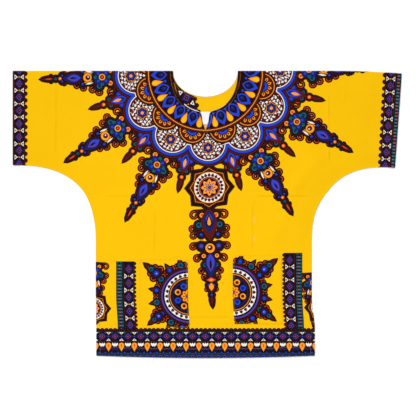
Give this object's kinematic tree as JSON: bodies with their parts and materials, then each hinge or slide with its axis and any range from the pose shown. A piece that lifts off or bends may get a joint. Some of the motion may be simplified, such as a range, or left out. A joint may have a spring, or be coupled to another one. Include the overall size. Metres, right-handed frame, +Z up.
{
  "type": "dashiki shirt",
  "caption": "Dashiki shirt laid flat: a loose pullover cut in one with its wide sleeves, with a round notched neck, patch pockets and open side vents.",
  "frame": {"origin": "middle of the laid shirt's outline, on the surface that it lies on", "axes": "+X along the sleeves towards the right of the picture, +Y from the hem towards the neck, +Z up from the surface"},
  "size_m": [1.048, 0.7738, 0.0076],
  "materials": {
    "printed_cotton": "matte",
    "facing_cotton": "matte",
    "label_satin": "satin"
  },
  "bodies": {
    "root": {"body": "printed_cotton", "neck_facing": "facing_cotton", "pocket_left": "printed_cotton", "pocket_right": "printed_cotton", "label": "label_satin"}
  },
  "joints": []
}
